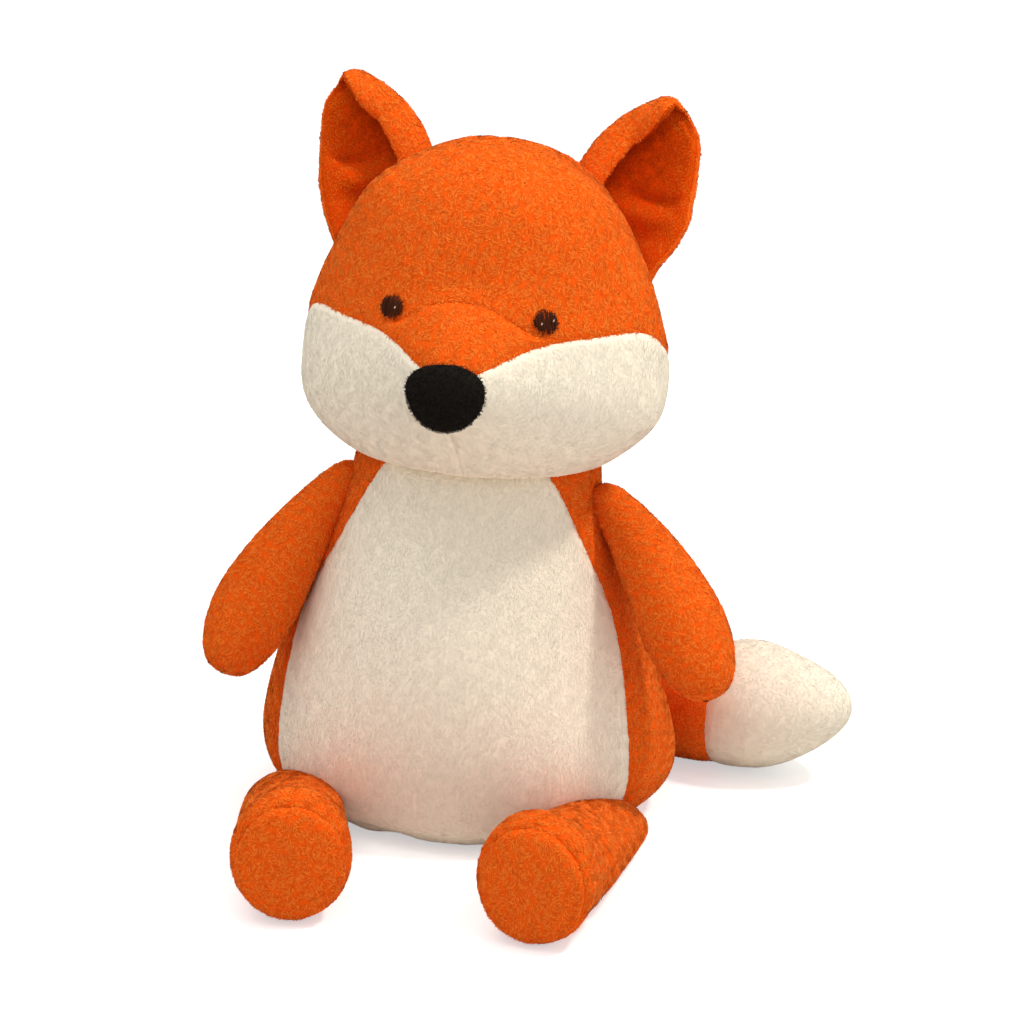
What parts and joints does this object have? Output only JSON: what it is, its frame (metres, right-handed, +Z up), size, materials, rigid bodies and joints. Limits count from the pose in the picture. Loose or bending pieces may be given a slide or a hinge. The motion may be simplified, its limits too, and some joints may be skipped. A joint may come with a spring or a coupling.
{
  "type": "plush fox",
  "caption": "Soft sitting fox toy with a large head, upright ears, cream cheeks and tummy, round feet and a thick pale-tipped tail.",
  "frame": {"origin": "on the floor under the torso, in the middle of the flat that the toy sits on", "axes": "+Z up, -Y the way the fox faces, +X the fox's left side"},
  "size_m": [0.3146, 0.2846, 0.3566],
  "materials": {
    "orange_pile": "short soft plush pile, orange",
    "cream_pile": "short soft plush pile, cream",
    "black_fleece": "brushed black fleece",
    "brown_thread": "dark brown satin-stitch embroidery",
    "wadding": "loose polyester fibre"
  },
  "bodies": {
    "arm_left": {"arm_left_back_panel": "orange_pile", "arm_left_filling": "wadding", "arm_left_front_panel": "orange_pile"},
    "arm_right": {"arm_right_back_panel": "orange_pile", "arm_right_filling": "wadding", "arm_right_front_panel": "orange_pile"},
    "head": {"cheek_left_panel": "cream_pile", "cheek_right_panel": "cream_pile", "ear_left_back": "orange_pile", "ear_left_front": "orange_pile", "ear_right_back": "orange_pile", "ear_right_front": "orange_pile", "eye_left": "brown_thread", "eye_right": "brown_thread", "head_back_left_panel": "orange_pile", "head_back_right_panel": "orange_pile", "head_bridge_panel": "orange_pile", "head_crown_panel": "orange_pile", "head_filling": "wadding", "nose_pad": "black_fleece"},
    "leg_left": {"foot_left_upper": "orange_pile", "leg_left_filling": "wadding", "leg_left_tube": "orange_pile", "sole_left": "orange_pile"},
    "leg_right": {"foot_right_upper": "orange_pile", "leg_right_filling": "wadding", "leg_right_tube": "orange_pile", "sole_right": "orange_pile"},
    "tail": {"tail_base_panel": "orange_pile", "tail_filling": "wadding", "tail_tip_panel": "cream_pile"},
    "torso": {"torso_back_left_panel": "orange_pile", "torso_back_right_panel": "orange_pile", "torso_filling": "wadding", "tummy_panel": "cream_pile"}
  },
  "joints": [
    {"name": "head_turn", "type": "hinge", "parent": "torso", "child": "head", "pos_m": [0, -0.008, 0.18], "axis": [0, 0, 1], "range_deg": [-20, 20]},
    {"name": "arm_left_lift", "type": "hinge", "parent": "torso", "child": "arm_left", "pos_m": [0.055, -0.006, 0.176], "axis": [0, -1, 0], "range_deg": [0, 35]},
    {"name": "arm_right_lift", "type": "hinge", "parent": "torso", "child": "arm_right", "pos_m": [-0.055, -0.006, 0.176], "axis": [0, 1, 0], "range_deg": [0, 35]},
    {"name": "leg_left_swing", "type": "hinge", "parent": "torso", "child": "leg_left", "pos_m": [0.08, -0.038, 0], "axis": [1, 0, 0], "range_deg": [0, 75]},
    {"name": "leg_right_swing", "type": "hinge", "parent": "torso", "child": "leg_right", "pos_m": [-0.08, -0.038, 0], "axis": [1, 0, 0], "range_deg": [0, 75]},
    {"name": "tail_swing", "type": "hinge", "parent": "torso", "child": "tail", "pos_m": [0.022, 0.07845, 0], "axis": [0, 0, 1], "range_deg": [0, 90]}
  ]
}
